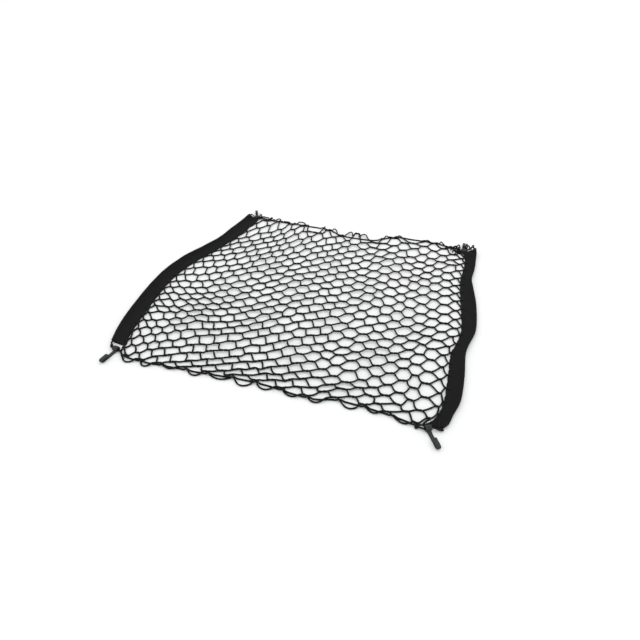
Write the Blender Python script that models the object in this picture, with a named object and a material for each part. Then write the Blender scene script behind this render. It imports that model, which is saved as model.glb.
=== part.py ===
"""Cargo net for a car boot, laid out flat.

A panel of hexagonal netting lies between two sleeve bands of folded woven tape. Elastic cord runs
along the near and the far edge of the panel, through the eye of a plastic hook at each corner, and
into the ends of the sleeves. X runs along the near edge, Y away from it, and +Z up. The net lies
on the plane z = 0, and the origin is under the middle of its box.
"""
import math

import bmesh
import bpy
import numpy as np

MM = 0.001
CLEARANCE = 0.3 * MM

# The tables below are in millimetres from the near-left corner; this point is the part's origin.
PLAN_ORIGIN = (348.46 * MM, 381.06 * MM)

# --- mesh panel ---------------------------------------------------------------------------------
STRAND_WIDTH = 3.4 * MM
STRAND_HEIGHT = 2.8 * MM
MESH_COLUMNS = 17            # columns of meshes side by side
MESH_ROWS = 14               # meshes in each column, front to back
JOINT_SHARE = 0.55           # the double-strand joint's share of a column's width
JITTER = 1.6 * MM            # how unevenly the knots lie
RIPPLE = 3.5 * MM            # how far the slack netting rises off the surface
LONG_STEPS = 3               # pieces that a long border strand is cut into, for its curve
SHORT_STEPS = 2
SIDE_STEPS = 3

BORDER_STEPS = 24            # pieces of a border's curve between two rows of its table

# Border strands of the panel, as (x, y) in millimetres.
NEAR_BORDER = (
    (9, 2), (24, -4), (45, -7), (90, -7), (150, -2), (212, 2), (267, 8), (322, 13), (378, 13),
    (433, 8), (482, 8), (525, 20), (581, 20), (642, 15), (685, 8), (704, 5),
)
FAR_BORDER = (
    (28, 762), (58, 763), (101, 759), (175, 759), (240, 759), (284, 754), (322, 733), (359, 727),
    (427, 730), (458, 743), (484, 766), (516, 781), (556, 780), (605, 781), (645, 777),
    (680, 767), (706, 752),
)
LEFT_BORDER = (
    (9, 2), (6, 14), (3, 28), (-14, 96), (-28, 170), (-40, 244), (-47, 311), (-44, 373),
    (-31, 440), (-13, 502), (5, 576), (16, 650), (23, 730), (28, 762),
)
RIGHT_BORDER = (
    (704, 5), (722, 24), (732, 53), (738, 96), (736, 170), (734, 244), (742, 281), (751, 342),
    (748, 404), (741, 477), (734, 551), (732, 588), (734, 650), (732, 705), (722, 735),
    (706, 752),
)

# How far back each share of the rows lies, as a share of the panel's depth.
#   share of rows, at the left side, in the middle, at the right side
ROW_PLACES = (
    (0.00, 0.000, 0.000, 0.000),
    (0.25, 0.210, 0.200, 0.200),
    (0.50, 0.415, 0.455, 0.440),
    (0.75, 0.665, 0.720, 0.740),
    (1.00, 1.000, 1.000, 1.000),
)

# --- sleeve bands -------------------------------------------------------------------------------
# Along the band (mm): y, its width in the plan, how far it stands off the surface, and how much
# further its outer fold does.
LEFT_SLEEVE = (
    (24, 37, 0, 3), (60, 39, 0, 4), (96, 40, 0, 6), (170, 41, 0, 7), (244, 41, 0, 7),
    (311, 40, 0, 8), (373, 42, 0, 8), (440, 44, 0, 8), (502, 43, 0, 7), (576, 41, 0, 6),
    (650, 44, 0, 7), (720, 43, 0, 7), (754, 42, 4, 6),
)
RIGHT_SLEEVE = (
    (9, 32, 0, 2), (53, 34, 0, 3), (96, 35, 0, 4), (170, 36, 0, 4), (244, 34, 0, 4),
    (281, 30, 0, 5), (342, 33, 0, 4), (404, 35, 0, 4), (477, 35, 0, 4), (551, 29, 0, 5),
    (588, 25, 0, 6), (650, 27, 0, 4), (705, 29, 0, 4), (735, 37, 3, 5), (744, 42, 5, 6),
)
LEFT_SLANT = 10.0 * MM       # how much further the outer fold runs than the inner edge, far end
RIGHT_SLANT = 26.0 * MM
SLANT_LENGTH = 40.0 * MM     # the length of band over which an end grows slanted
SLANT_POWER = 1.5
# Section of a band from its inner stitched edge (0) to its outer fold (1), and height in mm.
SLEEVE_UPPER_SIDE = (
    (0.00, 1.2), (0.05, 2.4), (0.25, 3.0), (0.55, 3.2), (0.74, 4.4), (0.85, 6.2), (0.94, 5.8),
    (1.00, 3.4),
)
SLEEVE_LOWER_SIDE = ((0.96, 1.0), (0.86, 0.0), (0.55, 0.0), (0.30, 0.0), (0.04, 0.0))
FLAT_SHARE = 0.3             # the inner share of the band that lies flat
BEAD_SHARE = 0.86            # where the elastic lies in the band
BEAD_HEIGHT = 3.1 * MM

# --- elastic cord -------------------------------------------------------------------------------
CORD_RADIUS = 2.0 * MM
CORD_BEVEL_STEPS = 2
CORD_HEIGHT = CORD_RADIUS + 0.1 * MM

# Each corner's turns, as (x, y, z) in millimetres: from the sleeve's end to the eye, and from
# the eye to the edge of the panel; then the x from which the cord lies along the edge.
CORNER_TURNS = {
    "near_left": (((-26, 16, 5.0), (-20, 7, 5.2)), (), 22),
    "near_right": (((748, 4, 4.6), (740, 3, 4.8), (732, 4, 5.3)), ((703, -3, 4.2),), 688),
    "far_left": (((-10, 768, 11.5), (-2, 766, 9.0)), ((33, 777, 4.5), (46, 775, 3.0)), 60),
    "far_right": (
        ((751, 773, 13.5), (744, 771, 13.0), (737, 761, 9.0)),
        ((707, 758, 5.2), (696, 767, 3.6)),
        678,
    ),
}
CORNER_STEPS = 2
CORD_LEAD = 2.0 * MM         # how far the cord comes straight out of a sleeve's end
# Where the cord is held straight on its way through an eye, in half widths of the eye.
EYE_RUN = (-1.3, -1.04, 1.04, 1.3)

# --- hooks --------------------------------------------------------------------------------------
HOOK_REACH = 52.0 * MM       # from the eye's centre to the outside of the bend
HOOK_WIDTH = 8.6 * MM
HOOK_SHANK = 3.3 * MM        # thickness of the shank
HOOK_MOUTH = 4.4 * MM        # clear height of the mouth
HOOK_RETURN = 2.6 * MM       # thickness of the turned-back arm
HOOK_RETURN_LENGTH = 20.0 * MM
EYE_RADIUS = 5.4 * MM
EYE_HOLE_RADIUS = 2.7 * MM
EYE_WIDTH = 11.0 * MM
EYE_HEIGHT = EYE_RADIUS + 0.1 * MM
ARC_STEPS = 12
EYE_SIDES = 24
# Each hook's eye centre in the plan (mm) and the way its bend points, in degrees from +X.
HOOKS = {
    "near_left": (-5.5, 1.0, 264.0),
    "near_right": (719.5, -1.0, 302.0),
    "far_left": (13.0, 765.0, 117.0),
    "far_right": (722.0, 754.0, 91.0),
}

# --- colours ------------------------------------------------------------------------------------
BLACK_TWINE = (0.012, 0.013, 0.013, 1.0)
BLACK_TAPE = (0.014, 0.014, 0.014, 1.0)
BLACK_ELASTIC = (0.010, 0.010, 0.011, 1.0)
GREY_PLASTIC = (0.045, 0.048, 0.048, 1.0)


def clear_scene():
    for obj in list(bpy.data.objects):
        bpy.data.objects.remove(obj, do_unlink=True)


def material(name, colour, roughness):
    made = bpy.data.materials.new(name)
    made.use_nodes = True
    shader = made.node_tree.nodes["Principled BSDF"]
    shader.inputs["Base Color"].default_value = colour
    shader.inputs["Roughness"].default_value = roughness
    shader.inputs["Metallic"].default_value = 0.0
    return made


def add_object(name, data, finish):
    obj = bpy.data.objects.new(name, data)
    data.materials.append(finish)
    bpy.context.scene.collection.objects.link(obj)
    return obj


def mesh_object(name, points, faces, finish):
    mesh = bpy.data.meshes.new(name)
    mesh.from_pydata([tuple(p) for p in points], [], faces)
    mesh.update()
    return add_object(name, mesh, finish)


# --- curves in the plan -------------------------------------------------------------------------
def in_plan(table):
    """Rows of (x, y) in millimetres as metres from the part's origin."""
    return np.array(table, float) * MM - np.array(PLAN_ORIGIN)


def curve_through(controls, steps):
    """Catmull-Rom curve that keeps every control, with `steps` pieces between two of them."""
    controls = np.asarray(controls, float)
    ends = 2 * controls[[0, -1]] - controls[[1, -2]]
    padded = np.vstack([ends[:1], controls, ends[1:]])
    shares = np.linspace(0, 1, steps, endpoint=False)[:, None]
    pieces = []
    for a, b, c, d in zip(padded, padded[1:], padded[2:], padded[3:]):
        curve = 2 * b + (c - a) * shares + (2 * a - 5 * b + 4 * c - d) * shares ** 2
        pieces.append(0.5 * (curve + (3 * b - a - 3 * c + d) * shares ** 3))
    return np.vstack(pieces + [controls[-1:]])


def beside(line, distance):
    """The polyline that runs parallel to `line`, `distance` to the right of its direction."""
    ways = np.diff(line, axis=0)
    ways /= np.linalg.norm(ways, axis=1)[:, None]
    normals = np.stack([ways[:, 1], -ways[:, 0]], axis=1)
    first = np.vstack([normals[:1], normals])
    second = np.vstack([normals, normals[-1:]])
    middle = first + second
    middle /= np.linalg.norm(middle, axis=1)[:, None]
    stretch = 1 / np.sum(middle * first, axis=1)
    return line + middle * (distance * stretch)[:, None]


# --- mesh panel ---------------------------------------------------------------------------------
def border_curves():
    tables = {"near": NEAR_BORDER, "far": FAR_BORDER, "left": LEFT_BORDER, "right": RIGHT_BORDER}
    return {side: curve_through(in_plan(table), BORDER_STEPS) for side, table in tables.items()}


def row_place(share, across):
    """Share of the depth at which a share of the rows lies, for a share of the way across."""
    table = np.array(ROW_PLACES)
    left, middle, right = [curve_value(table[:, 0], table[:, side], share) for side in (1, 2, 3)]
    if across < 0.5:
        return left + (middle - left) * across * 2
    return middle + (right - middle) * (across * 2 - 1)


def curve_value(places, values, at):
    """Smooth value between the table's rows, by a polynomial through all of them."""
    return float(np.polyval(np.polyfit(places, values, len(places) - 1), at))


def panel_point(borders, across, back):
    """Coons patch: the place in the panel between its four border curves."""
    near = border_point(borders, "near", across)
    far = border_point(borders, "far", across)
    left = border_point(borders, "left", back)
    right = border_point(borders, "right", back)
    corners = (
        borders["near"][0] * (1 - across) * (1 - back) + borders["near"][-1] * across * (1 - back)
        + borders["far"][0] * (1 - across) * back + borders["far"][-1] * across * back
    )
    between = near * (1 - back) + far * back + left * (1 - across) + right * across
    return between - corners


def joint_tilt(across, back):
    """Angle of a joint from the X axis: the netting is pulled askew in its middle and left."""
    pulled = math.exp(-((across - 0.42) / 0.34) ** 2 - ((back - 0.55) / 0.30) ** 2)
    return math.radians(24) * pulled


def border_point(borders, side, share):
    """Point of a border at a share of its reach, across for near and far, back for the sides."""
    line = borders[side]
    axis = 0 if side in ("near", "far") else 1
    at = line[0, axis] + share * (line[-1, axis] - line[0, axis])
    return np.array([np.interp(at, line[:, axis], column) for column in line.T])


class Netting:
    """Plan graph of the panel: its knots, and the strands that join them."""

    def __init__(self, borders):
        self.borders = borders
        self.points = []
        self.strands = set()
        self.edges = {side: [] for side in borders}
        self.random = np.random.default_rng(7)

    def add(self, point):
        self.points.append(np.array(point, float))
        return len(self.points) - 1

    def add_on_border(self, side, share):
        knot = self.add(border_point(self.borders, side, share))
        self.edges[side].append((share, knot))
        return knot

    def join(self, first, second):
        self.strands.add((min(first, second), max(first, second)))

    def run(self, side, first, second, start, end, steps):
        """Border strand along a border curve, between two of its shares, in short pieces."""
        last = first
        for share in np.linspace(start, end, steps + 1)[1:-1]:
            knot = self.add_on_border(side, share)
            self.join(last, knot)
            last = knot
        self.join(last, second)

    def edge_line(self, side):
        """The border's own knots in order, which the sleeve or cord beside it follows."""
        return np.array([self.points[knot] for _, knot in sorted(self.edges[side])])


def netting_graph(borders):
    """Hexagonal meshes: in each column the joints lie one mesh apart, and legs run from each
    joint's ends to the joints of the next columns, half a mesh nearer and half a mesh further."""
    net = Netting(borders)
    leg_share = 1 - JOINT_SHARE
    pitch = 1 / (MESH_COLUMNS + leg_share)
    joints = {}
    for column in range(MESH_COLUMNS):
        middle = (column + 0.5 + leg_share / 2) * pitch
        half = JOINT_SHARE * pitch / 2
        odd = column % 2
        levels = np.arange(0, MESH_ROWS + 1) if not odd else np.arange(0, MESH_ROWS) + 0.5
        for level in levels:
            share = level / MESH_ROWS
            back = row_place(share, middle)
            on_border = level in (0, MESH_ROWS)
            if on_border:
                side = "near" if level == 0 else "far"
                joints[column, level] = [
                    net.add_on_border(side, middle + step) for step in (-half, half)]
            else:
                centre = panel_point(borders, middle, back)
                across = panel_point(borders, middle + half, back)
                reach = np.linalg.norm(across - centre)
                angle = joint_tilt(middle, back)
                step = reach * np.array((math.cos(angle), math.sin(angle)))
                shift = net.random.uniform(-1, 1, (2, 2)) * JITTER
                ends = np.array([centre - step, centre + step]) + shift
                joints[column, level] = [net.add(end) for end in ends]
                net.join(*joints[column, level])
    for (column, level), (_, right_end) in joints.items():
        for step in (-0.5, 0.5):
            following = joints.get((column + 1, level + step))
            if following:
                net.join(right_end, following[0])
    close_near_and_far(net, joints, pitch)
    close_sides(net, joints)
    return net


def close_near_and_far(net, joints, pitch):
    """Border strands along the near and far edges, from each border joint to the next."""
    leg_share = 1 - JOINT_SHARE
    half = JOINT_SHARE * pitch / 2
    for side, level in (("near", 0), ("far", MESH_ROWS)):
        previous, place = None, 0.0
        for column in range(0, MESH_COLUMNS, 2):
            middle = (column + 0.5 + leg_share / 2) * pitch
            left_end, right_end = joints[column, level]
            if previous is None:
                corner = net.add_on_border(side, 0.0)
                joints[side, "left"] = corner
                net.run(side, corner, left_end, 0.0, middle - half, SHORT_STEPS)
            else:
                net.run(side, previous, left_end, place, middle - half, LONG_STEPS)
            net.run(side, left_end, right_end, middle - half, middle + half, SHORT_STEPS)
            previous, place = right_end, middle + half
        corner = net.add_on_border(side, 1.0)
        joints[side, "right"] = corner
        net.run(side, previous, corner, place, 1.0, SHORT_STEPS)


def close_sides(net, joints):
    """Border strands along the sides, where two legs meet between each pair of joints."""
    for side, column, end in (("left", 0, 0), ("right", MESH_COLUMNS - 1, 1)):
        across = 0.0 if side == "left" else 1.0
        last, place = joints["near", side], 0.0
        net.edges[side] += [(0.0, joints["near", side]), (1.0, joints["far", side])]
        for row in range(MESH_ROWS):
            back = row_place((row + 0.5) / MESH_ROWS, across)
            knot = net.add_on_border(side, back)
            net.join(joints[column, row][end], knot)
            net.join(joints[column, row + 1][end], knot)
            net.run(side, last, knot, place, back, SIDE_STEPS)
            last, place = knot, back
        net.run(side, last, joints["far", side], place, 1.0, SIDE_STEPS)


def ripple_height(point):
    """Height of the slack netting over the surface, nothing at its borders."""
    x, y = point
    low, high = in_plan(((0, 0), (720, 780)))
    across = (x - low[0]) / (high[0] - low[0])
    back = (y - low[1]) / (high[1] - low[1])
    if not (0 < across < 1 and 0 < back < 1):
        return 0.0
    fade = min(1.0, 8 * across * (1 - across)) * min(1.0, 8 * back * (1 - back))
    wave = 0.5 + 0.5 * math.sin(23 * across + 9 * back) * math.cos(17 * back - 5 * across)
    return RIPPLE * fade * wave


def netting_solid(name, net, finish):
    """One closed solid: each strand a flat bar, mitred where strands meet."""
    half = STRAND_WIDTH / 2
    neighbours = {}
    for first, second in sorted(net.strands):
        neighbours.setdefault(first, []).append(second)
        neighbours.setdefault(second, []).append(first)
    points, corners, faces = [], {}, []

    def angle_to(knot, other):
        way = net.points[other] - net.points[knot]
        return math.atan2(way[1], way[0])

    for knot, around in neighbours.items():
        around.sort(key=lambda other: angle_to(knot, other))
        base = ripple_height(net.points[knot])
        loop = []
        for first, second in zip(around, around[1:] + around[:1]):
            start = angle_to(knot, first)
            wedge = (angle_to(knot, second) - start) % (2 * math.pi)
            reach = half / math.sin(wedge / 2)
            x, y = net.points[knot]
            x += reach * math.cos(start + wedge / 2)
            y += reach * math.sin(start + wedge / 2)
            index = len(points)
            points.append((x, y, base + STRAND_HEIGHT))
            points.append((x, y, base))
            corners[knot, "left of", first] = index
            corners[knot, "right of", second] = index
            loop.append(index)
        if len(loop) > 2:
            faces.append(loop)
            faces.append([index + 1 for index in reversed(loop)])

    for first, second in sorted(net.strands):
        a = corners[first, "right of", second]
        b = corners[second, "left of", first]
        c = corners[second, "right of", first]
        d = corners[first, "left of", second]
        faces.append([a, b, c, d])
        faces.append([d + 1, c + 1, b + 1, a + 1])
        faces.append([b, a, a + 1, b + 1])
        faces.append([d, c, c + 1, d + 1])
    return mesh_object(name, points, faces, finish)


# --- sleeve bands -------------------------------------------------------------------------------
def slanted_end(y, end, slant, share):
    """How much further back a place across the band lies, near the band's slanted far end."""
    grown = max(0.0, 1 - (end - y) / SLANT_LENGTH)
    return slant * grown * share ** SLANT_POWER


def sleeve(name, border, table, outward, slant, finish):
    """Folded tape swept along the panel's border: a flat inner part and a round outer fold."""
    rows = np.array(table, float) * MM
    start, end = rows[0, 0] - PLAN_ORIGIN[1], rows[-1, 0] - PLAN_ORIGIN[1]
    inner = beside(border, outward * (STRAND_WIDTH / 2 + CLEARANCE))
    inside = (inner[:, 1] > start + MM) & (inner[:, 1] < end - MM)
    stations = np.concatenate([[start], inner[inside, 1], [end]])
    inner_x = np.interp(stations, inner[:, 1], inner[:, 0])
    table_y = rows[:, 0] - PLAN_ORIGIN[1]
    width = np.interp(stations, table_y, rows[:, 1])
    base = np.interp(stations, table_y, rows[:, 2])
    lift = np.interp(stations, table_y, rows[:, 3])
    section = SLEEVE_UPPER_SIDE + SLEEVE_LOWER_SIDE
    points = []
    for x, y, band_width, band_base, band_lift in zip(inner_x, stations, width, base, lift):
        for share, height in section:
            back = y + slanted_end(y, end, slant, share)
            raised = band_base + band_lift * fold_share(share)
            points.append((x + outward * share * band_width, back, height * MM + raised))
    faces = swept_faces(len(stations), len(section), flip=outward < 0)
    mesh_object(name, points, faces, finish)
    ends = []
    for station, way, slope in ((0, -1.0, 0.0), (-1, 1.0, SLANT_POWER * slant / width[-1])):
        x = inner_x[station] + outward * BEAD_SHARE * width[station]
        back = stations[station] + slanted_end(stations[station], end, slant, BEAD_SHARE)
        z = BEAD_HEIGHT + base[station] + lift[station] * fold_share(BEAD_SHARE)
        ends.append(np.array((x, back + way * (CLEARANCE + CORD_RADIUS * slope), z)))
    return ends


def fold_share(share):
    """How much of the outer fold's lift a place across the band has."""
    return max(0.0, (share - FLAT_SHARE) / (1 - FLAT_SHARE)) ** 2


def swept_faces(stations, around, flip):
    """Side faces between the sections of a sweep, and a face over each end."""
    faces = []
    for station in range(stations - 1):
        for corner in range(around):
            following = (corner + 1) % around
            here, there = station * around, (station + 1) * around
            faces.append([here + corner, here + following, there + following, there + corner])
    faces.append(list(range(around))[::-1])
    faces.append(list(range((stations - 1) * around, stations * around)))
    if flip:
        faces = [face[::-1] for face in faces]
    return faces


# --- elastic cord -------------------------------------------------------------------------------
def through_eye(corner):
    """Points of the cord straight through a hook's eye, from left to right."""
    x, y, heading = HOOKS[corner]
    centre = in_plan(((x, y),))[0]
    turned = math.radians(heading - 90)
    way = np.array((math.cos(turned), math.sin(turned)))
    if way[0] < 0:
        way = -way
    height = EYE_HEIGHT - (EYE_HOLE_RADIUS - CORD_RADIUS - CLEARANCE)
    return [np.append(centre + way * share * EYE_WIDTH / 2, height) for share in EYE_RUN]


def guide_points(table):
    return [np.array((*in_plan(((x, y),))[0], z * MM)) for x, y, z in table]


def corner_route(corner, sleeve_end, edge_points):
    """The cord's way from a sleeve's end through the eye to the edge of the panel."""
    outer, inner, _ = CORNER_TURNS[corner]
    eye = through_eye(corner)
    if corner.endswith("right"):
        eye = eye[::-1]
    out = CORD_LEAD if corner.startswith("far") else -CORD_LEAD
    lead = sleeve_end + np.array((0, out, 0))
    controls = [lead] + guide_points(outer) + eye + guide_points(inner) + edge_points
    way = curve_through(np.array(controls), CORNER_STEPS)[:-CORNER_STEPS]
    return np.vstack([sleeve_end, way])


def cord(name, sleeve_ends, run, corners, finish):
    """Elastic from the left sleeve's end, through both eyes and along the edge, to the right."""
    left, right = corners
    start, end = [in_plan(((CORNER_TURNS[corner][2], 0),))[0][0] for corner in corners]
    edge = [np.append(point, CORD_HEIGHT) for point in run if start < point[0] < end]
    head = corner_route(left, sleeve_ends[0], edge[:2])
    tail = corner_route(right, sleeve_ends[1], edge[-2:][::-1])[::-1]
    route = np.vstack([head, edge[1:-1], tail])
    route[:, 2] = np.maximum(route[:, 2], CORD_HEIGHT)
    curve = bpy.data.curves.new(name, "CURVE")
    curve.dimensions = "3D"
    curve.bevel_depth = CORD_RADIUS
    curve.bevel_resolution = CORD_BEVEL_STEPS
    curve.use_fill_caps = True
    spline = curve.splines.new("POLY")
    spline.points.add(len(route) - 1)
    for point, place in zip(spline.points, route):
        point.co = (*place, 1.0)
    return add_object(name, curve, finish)


# --- hooks --------------------------------------------------------------------------------------
def arc(centre, radius, start, end, steps=ARC_STEPS):
    angles = np.radians(np.linspace(start, end, steps + 1))
    return [(centre[0] + radius * math.cos(a), centre[1] + radius * math.sin(a)) for a in angles]


def hook_outline():
    """Side view of a hook: shank on the surface, bend at its end, arm turned back over it."""
    total = HOOK_SHANK + HOOK_MOUTH + HOOK_RETURN
    outer = total / 2
    inner = HOOK_MOUTH / 2
    bend = HOOK_REACH - outer
    arm_end = HOOK_REACH - HOOK_RETURN_LENGTH
    neck = EYE_RADIUS - 0.8 * MM
    outline = [(0.0, 0.0)]
    outline += arc((bend, outer), outer, -90, 90)
    outline += arc((arm_end, total - HOOK_RETURN / 2), HOOK_RETURN / 2, 90, 270, 6)
    outline += arc((bend, HOOK_SHANK + inner), inner, 90, -90)
    outline += [(neck, HOOK_SHANK), (neck - 2 * MM, EYE_HEIGHT), (0.0, EYE_HEIGHT)]
    return outline


def extruded(outline, width):
    mesh = bpy.data.meshes.new("hook blank")
    body = bmesh.new()
    near = [body.verts.new((s, -width / 2, z)) for s, z in outline]
    face = body.faces.new(near)
    grown = bmesh.ops.extrude_face_region(body, geom=[face])
    moved = [item for item in grown["geom"] if isinstance(item, bmesh.types.BMVert)]
    bmesh.ops.translate(body, verts=moved, vec=(0, width, 0))
    bmesh.ops.recalc_face_normals(body, faces=body.faces)
    body.to_mesh(mesh)
    body.free()
    return mesh


def cross_drum(name, radius, width):
    """Drum on the eye's axis, which lies across the hook."""
    mesh = bpy.data.meshes.new(name)
    body = bmesh.new()
    bmesh.ops.create_cone(
        body, cap_ends=True, segments=EYE_SIDES, radius1=radius, radius2=radius, depth=width)
    body.to_mesh(mesh)
    body.free()
    obj = bpy.data.objects.new(name, mesh)
    obj.rotation_euler = (math.radians(90), 0, 0)
    obj.location = (0, 0, EYE_HEIGHT)
    obj.hide_render = True
    obj.display_type = "WIRE"
    bpy.context.scene.collection.objects.link(obj)
    return obj


def hook_mesh():
    """Hook with its eye drum joined on and the cord's hole cut through both."""
    blank = bpy.data.objects.new("hook blank", extruded(hook_outline(), HOOK_WIDTH))
    bpy.context.scene.collection.objects.link(blank)
    drum = cross_drum("eye drum", EYE_RADIUS, EYE_WIDTH)
    hole = cross_drum("eye hole", EYE_HOLE_RADIUS, EYE_WIDTH * 2)
    for tool, operation in ((drum, "UNION"), (hole, "DIFFERENCE")):
        step = blank.modifiers.new(operation.title(), "BOOLEAN")
        step.operation = operation
        step.solver = "EXACT"
        step.object = tool
    bpy.context.view_layer.update()
    seen = blank.evaluated_get(bpy.context.evaluated_depsgraph_get())
    mesh = bpy.data.meshes.new_from_object(seen)
    for scaffold in (blank, drum, hole):
        bpy.data.objects.remove(scaffold, do_unlink=True)
    return mesh


def hooks(finish):
    shape = hook_mesh()
    shape.materials.clear()
    shape.materials.append(finish)
    shape.shade_smooth()
    shape.set_sharp_from_angle(angle=math.radians(35))
    for corner, (x, y, heading) in HOOKS.items():
        obj = bpy.data.objects.new("hook_" + corner, shape)
        place = in_plan(((x, y),))[0]
        obj.location = (place[0], place[1], 0.0)
        obj.rotation_euler = (0, 0, math.radians(heading))
        bpy.context.scene.collection.objects.link(obj)


def main():
    clear_scene()
    twine = material("black twine", BLACK_TWINE, 0.75)
    tape = material("black woven tape", BLACK_TAPE, 0.85)
    elastic = material("black elastic", BLACK_ELASTIC, 0.7)
    plastic = material("dark grey plastic", GREY_PLASTIC, 0.5)
    borders = border_curves()
    net = netting_graph(borders)
    netting_solid("net", net, twine)
    left_line, right_line = [net.edge_line(side) for side in ("left", "right")]
    left_ends = sleeve("sleeve_left", left_line, LEFT_SLEEVE, -1.0, LEFT_SLANT, tape)
    right_ends = sleeve("sleeve_right", right_line, RIGHT_SLEEVE, 1.0, RIGHT_SLANT, tape)
    beside_cord = STRAND_WIDTH / 2 + CLEARANCE + CORD_RADIUS
    near_run = beside(net.edge_line("near"), beside_cord)
    far_run = beside(net.edge_line("far"), -beside_cord)
    near_ends, far_ends = zip(left_ends, right_ends)
    cord("cord_near", near_ends, near_run, ("near_left", "near_right"), elastic)
    cord("cord_far", far_ends, far_run, ("far_left", "far_right"), elastic)
    hooks(plastic)


main()
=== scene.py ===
# %% [markdown]
# # A cargo net for a car boot, laid out on a studio floor
# The net has four kinds of part: a panel of knotless hexagonal netting, a folded tape band down
# each side, an elastic cord along the near and the far edge, and a plastic hook at each corner.
# Each is made here as a numpy surface: a function of two parameters, worked out for the whole grid
# at once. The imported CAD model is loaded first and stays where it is, and the pieces are laid over
# it, in metres and in its own axes.

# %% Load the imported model
import math

import bpy
import numpy as np
from mathutils import Matrix


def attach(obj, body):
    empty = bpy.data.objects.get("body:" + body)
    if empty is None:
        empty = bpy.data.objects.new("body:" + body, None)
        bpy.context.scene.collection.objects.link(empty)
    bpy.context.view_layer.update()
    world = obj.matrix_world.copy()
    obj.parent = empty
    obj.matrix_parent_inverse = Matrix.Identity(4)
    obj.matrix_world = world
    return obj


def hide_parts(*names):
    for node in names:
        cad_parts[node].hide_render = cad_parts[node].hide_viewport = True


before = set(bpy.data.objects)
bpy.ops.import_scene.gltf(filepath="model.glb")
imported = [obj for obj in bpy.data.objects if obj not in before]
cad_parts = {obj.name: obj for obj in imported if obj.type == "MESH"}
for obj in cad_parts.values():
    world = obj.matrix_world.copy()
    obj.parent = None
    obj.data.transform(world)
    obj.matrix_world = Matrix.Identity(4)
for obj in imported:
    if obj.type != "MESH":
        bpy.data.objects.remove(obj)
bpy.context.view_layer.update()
print("nodes:", ", ".join(sorted(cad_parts)))

# %% [markdown]
# ## Units and the plan
# The tables are in millimetres from the net's near-left corner, as one would measure a net on a
# floor. They are brought to metres from the model's origin, under the middle of its box.

# %% Millimetres on the plan
MM = 0.001
PLAN_ORIGIN = np.array((348.46, 381.06)) * MM
FULL_TURN = 2 * math.pi


def in_plan(table):
    """(x, y) in millimetres from the near-left corner, as metres from the origin."""
    return np.array(table, float) * MM - PLAN_ORIGIN


def add_object(name, data):
    """A new object in the scene, at the origin, neither turned nor scaled."""
    made = bpy.data.objects.new(name, data)
    bpy.context.scene.collection.objects.link(made)
    return made


print("near-left corner at", in_plan((0, 0)))

# %% [markdown]
# ## The camera
# A picture taken from above is best matched by the camera's real place and three turns: how far
# it looks to the side, how far it looks down, and how much it leans.

# %% Camera
CAMERA_PLACE = (0.35924, -1.04969, 0.741)
LOOKS_LEFT = math.radians(17.71)
LOOKS_DOWN = math.radians(36.89)
LEANS = math.radians(0.80)
LENS = 27.26  # on a sensor of 36 mm

camera_data = bpy.data.cameras.new("camera")
camera_data.lens = LENS
camera = add_object("camera", camera_data)
camera.matrix_world = (
    Matrix.Translation(CAMERA_PLACE)
    @ Matrix.Rotation(LOOKS_LEFT, 4, "Z")
    @ Matrix.Rotation(math.pi / 2 - LOOKS_DOWN, 4, "X")
    @ Matrix.Rotation(LEANS, 4, "Z")
)
bpy.context.scene.camera = camera
print("camera at", CAMERA_PLACE, "lens", LENS)

# %% [markdown]
# ## Helpers for smooth lines
# Catmull-Rom curves pass through every point given, so a short table of measured points is enough
# for a border or a cord. The last helper gives the line beside another one, as the elastic runs
# beside the netting's border.

# %% Curves through measured points
# What 1, s, s^2 and s^3 add to the weight of each of the four points round a place.
CATMULL_ROM = 0.5 * np.array(((0, 2, 0, 0), (-1, 0, 1, 0), (2, -5, 4, -1), (-1, 3, -3, 1)))


def curve_through(controls, steps):
    """Between two points the curve is a cubic: it leaves each point along the line that joins the
    points before and after it."""
    controls = np.asarray(controls, float)
    ends = 2 * controls[[0, -1]] - controls[[1, -2]]
    padded = np.vstack([ends[:1], controls, ends[1:]])
    fours = np.stack([padded[start:len(padded) - 3 + start] for start in range(4)], axis=1)
    share = np.linspace(0, 1, steps, endpoint=False)[:, None]
    curve = (share ** np.arange(4) @ CATMULL_ROM) @ fours
    return np.vstack([curve.reshape(-1, controls.shape[1]), controls[-1:]])


def unit(ways):
    """Each direction, brought to length one."""
    return ways / np.linalg.norm(ways, axis=-1, keepdims=True)


def beside(line, distance):
    """Each point moves `distance` to the right of the line's own direction there."""
    ways = unit(np.gradient(line, axis=0))
    return line + distance * np.stack([ways[:, 1], -ways[:, 0]], axis=1)


# %% [markdown]
# ## The panel's outline
# The netting lies slack, so its borders curve in and out. Each is a short table of points (x, y),
# read off the photograph laid flat on the plan, with a smooth curve through them.

# %% Borders of the panel
BORDER_TABLES = {
    "near": (
        (9, 2), (24, -4), (45, -7), (90, -7), (150, -2), (212, 2), (267, 8), (322, 13), (378, 13),
        (433, 8), (482, 8), (525, 20), (581, 20), (642, 15), (685, 8), (704, 5)),
    "far": (
        (28, 762), (58, 763), (101, 759), (175, 759), (240, 759), (284, 754), (322, 733),
        (359, 727), (427, 730), (458, 743), (484, 766), (516, 781), (556, 780), (605, 781),
        (645, 777), (680, 767), (706, 752)),
    "left": (
        (9, 2), (6, 14), (3, 28), (-14, 96), (-28, 170), (-40, 244), (-47, 311), (-44, 373),
        (-31, 440), (-13, 502), (5, 576), (16, 650), (23, 730), (28, 762)),
    "right": (
        (704, 5), (722, 24), (732, 53), (738, 96), (736, 170), (734, 244), (742, 281), (751, 342),
        (748, 404), (741, 477), (734, 551), (732, 588), (734, 650), (732, 705), (722, 735),
        (706, 752)),
}
BORDER_STEPS = 12
BORDERS = {
    side: curve_through(in_plan(table), BORDER_STEPS) for side, table in BORDER_TABLES.items()}
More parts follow.
